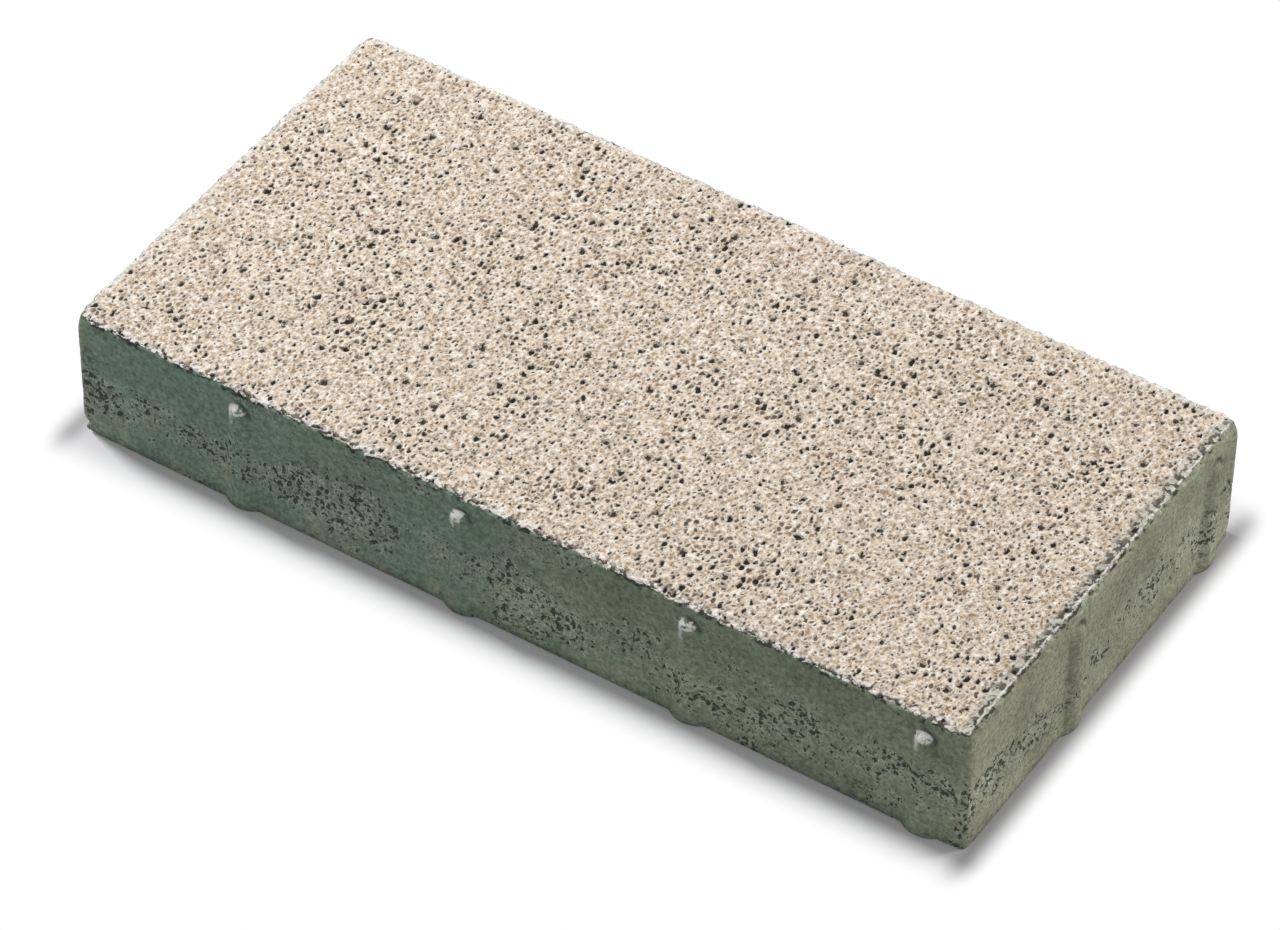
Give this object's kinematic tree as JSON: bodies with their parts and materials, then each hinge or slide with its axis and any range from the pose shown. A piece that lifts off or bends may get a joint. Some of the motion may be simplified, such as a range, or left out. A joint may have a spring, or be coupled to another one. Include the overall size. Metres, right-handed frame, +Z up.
{
  "type": "paving stone",
  "caption": "Rectangular cast concrete paving stone with a blasted beige walking face, grey-green sides and round-headed spacer ribs that keep an even joint.",
  "frame": {"origin": "centre of the bed face, the face that the stone is laid on", "axes": "+X along the long sides, +Y along the short sides, +Z up to the walking face"},
  "size_m": [0.4004, 0.2004, 0.06],
  "materials": {
    "cast_concrete": "blasted beige walking face, rough grey-green cement skin on the sides"
  },
  "bodies": {
    "root": {"paving_stone": "cast_concrete"}
  },
  "joints": []
}
